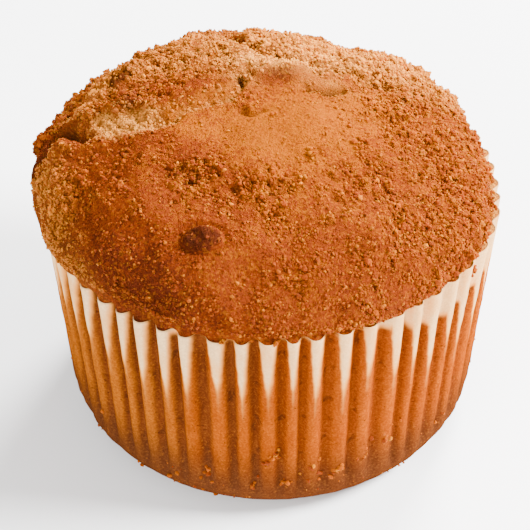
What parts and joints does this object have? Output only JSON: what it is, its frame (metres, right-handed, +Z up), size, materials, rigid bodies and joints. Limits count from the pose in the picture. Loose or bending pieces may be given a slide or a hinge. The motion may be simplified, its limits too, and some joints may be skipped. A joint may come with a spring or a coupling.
{
  "type": "muffin",
  "caption": "Large crumb-topped muffin with a browned, cracked crown in a fluted paper case.",
  "frame": {"origin": "centre of the case's flat base, on the table", "axes": "+Z up through the crown, -Y towards the camera, +X to the camera's right"},
  "size_m": [0.0778, 0.076, 0.0603],
  "materials": {
    "crust": "matte",
    "paper": "matte"
  },
  "bodies": {
    "root": {"cake": "crust", "paper_case": "paper"}
  },
  "joints": []
}
